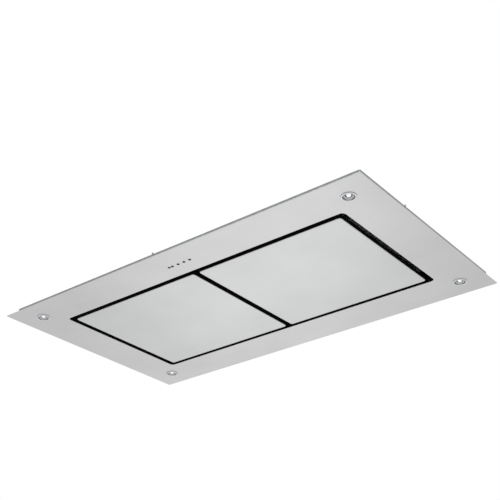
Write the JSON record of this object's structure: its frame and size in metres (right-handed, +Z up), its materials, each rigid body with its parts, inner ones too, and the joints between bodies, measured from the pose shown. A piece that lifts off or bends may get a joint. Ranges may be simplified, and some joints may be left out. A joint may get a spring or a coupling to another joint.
{
  "type": "ceiling range hood",
  "caption": "Flat stainless ceiling hood with hinged perimeter-suction panels, spot lamps, push buttons and a fan box with an upward duct spigot.",
  "frame": {"origin": "centre of the four hanging-rod holes, on the top faces of the hanging brackets, 62 mm above the plate's visible underside", "axes": "+Z up, out of the ceiling plate's back and towards the duct; +X along the plate's length, from the left suction panel to the right one; +Y across the plate, away from the row of push buttons"},
  "size_m": [1.2, 0.7, 0.2392],
  "materials": {
    "plate_steel": "satin stainless",
    "panel_steel": "satin stainless",
    "galvanised": "galvanised sheet",
    "black_paint": "matt black",
    "filter_aluminium": "plain",
    "bright_metal": "polished",
    "button_plastic": "gloss",
    "dark_plastic": "moulded",
    "lens_plastic": "opal",
    "board": "circuit board"
  },
  "bodies": {
    "hood": {"ceiling_plate": "plate_steel", "collar_frame": "galvanised", "collar_tabs": "galvanised", "recess_liner": "black_paint", "suction_box": "galvanised", "suction_box_lid": "galvanised", "filter_carrier": "black_paint", "crossbar": "black_paint", "catch_magnets": "dark_plastic", "hinge_brackets": "black_paint", "hinge_pins": "bright_metal", "left_filter_frame": "filter_aluminium", "right_filter_frame": "filter_aluminium", "left_filter_mesh": "filter_aluminium", "right_filter_mesh": "filter_aluminium", "lamp_bezel_1": "bright_metal", "lamp_bezel_2": "bright_metal", "lamp_bezel_3": "bright_metal", "lamp_bezel_4": "bright_metal", "lamp_lens_1": "lens_plastic", "lamp_lens_2": "lens_plastic", "lamp_lens_3": "lens_plastic", "lamp_lens_4": "lens_plastic", "lamp_bodies": "filter_aluminium", "lamp_clips": "bright_metal", "receiver_window": "button_plastic", "control_housing": "dark_plastic", "control_board": "board", "hanging_brackets": "galvanised", "bracket_rivets": "galvanised", "fan_housing": "galvanised", "fan_lid": "galvanised", "inlet_ring": "galvanised", "motor": "filter_aluminium", "duct_spigot": "galvanised", "flap_pin": "bright_metal", "electronics_box": "dark_plastic", "electronics_cover": "dark_plastic", "circuit_board": "board", "cable_gland": "dark_plastic", "sheet_fasteners": "bright_metal", "inner_wiring": "dark_plastic"},
    "left_panel": {"left_panel_face": "panel_steel", "left_panel_back": "black_paint", "left_hinge_leaves": "galvanised", "left_strike_plates": "galvanised"},
    "right_panel": {"right_panel_face": "panel_steel", "right_panel_back": "black_paint", "right_hinge_leaves": "galvanised", "right_strike_plates": "galvanised"},
    "left_latch": {"left_filter_latch": "dark_plastic"},
    "right_latch": {"right_filter_latch": "dark_plastic"},
    "push_button_1": {"button_1": "button_plastic"},
    "push_button_2": {"button_2": "button_plastic"},
    "push_button_3": {"button_3": "button_plastic"},
    "push_button_4": {"button_4": "button_plastic"},
    "fan_wheel": {"impeller": "dark_plastic", "motor_shaft": "bright_metal"},
    "left_damper": {"left_flap": "filter_aluminium"},
    "right_damper": {"right_flap": "filter_aluminium"}
  },
  "joints": [
    {"name": "left_panel_hinge", "type": "hinge", "parent": "hood", "child": "left_panel", "pos_m": [-0.452, 0, -0.044], "axis": [0, 1, 0], "range_deg": [0, 90]},
    {"name": "right_panel_hinge", "type": "hinge", "parent": "hood", "child": "right_panel", "pos_m": [0.452, 0, -0.044], "axis": [0, -1, 0], "range_deg": [0, 90]},
    {"name": "left_latch_slide", "type": "slide", "parent": "hood", "child": "left_latch", "axis": [-1, 0, 0], "range_m": [0, 0.006]},
    {"name": "right_latch_slide", "type": "slide", "parent": "hood", "child": "right_latch", "axis": [1, 0, 0], "range_m": [0, 0.006]},
    {"name": "button_1_press", "type": "slide", "parent": "hood", "child": "push_button_1", "axis": [0, 0, 1], "range_m": [0, 0.0012], "stiffness_N_per_m": 400, "springref_m": -0.001},
    {"name": "button_2_press", "type": "slide", "parent": "hood", "child": "push_button_2", "axis": [0, 0, 1], "range_m": [0, 0.0012], "stiffness_N_per_m": 400, "springref_m": -0.001},
    {"name": "button_3_press", "type": "slide", "parent": "hood", "child": "push_button_3", "axis": [0, 0, 1], "range_m": [0, 0.0012], "stiffness_N_per_m": 400, "springref_m": -0.001},
    {"name": "button_4_press", "type": "slide", "parent": "hood", "child": "push_button_4", "axis": [0, 0, 1], "range_m": [0, 0.0012], "stiffness_N_per_m": 400, "springref_m": -0.001},
    {"name": "fan_spin", "type": "hinge", "parent": "hood", "child": "fan_wheel", "pos_m": [-0.095, 0.052, 0.071], "axis": [0, 0, 1], "continuous": true},
    {"name": "left_flap_hinge", "type": "hinge", "parent": "hood", "child": "left_damper", "pos_m": [0.185, 0.052, 0.1299], "axis": [0, 1, 0], "range_deg": [0, 80]},
    {"name": "right_flap_hinge", "type": "hinge", "parent": "hood", "child": "right_damper", "pos_m": [0.185, 0.052, 0.1299], "axis": [0, -1, 0], "range_deg": [0, 80]}
  ]
}
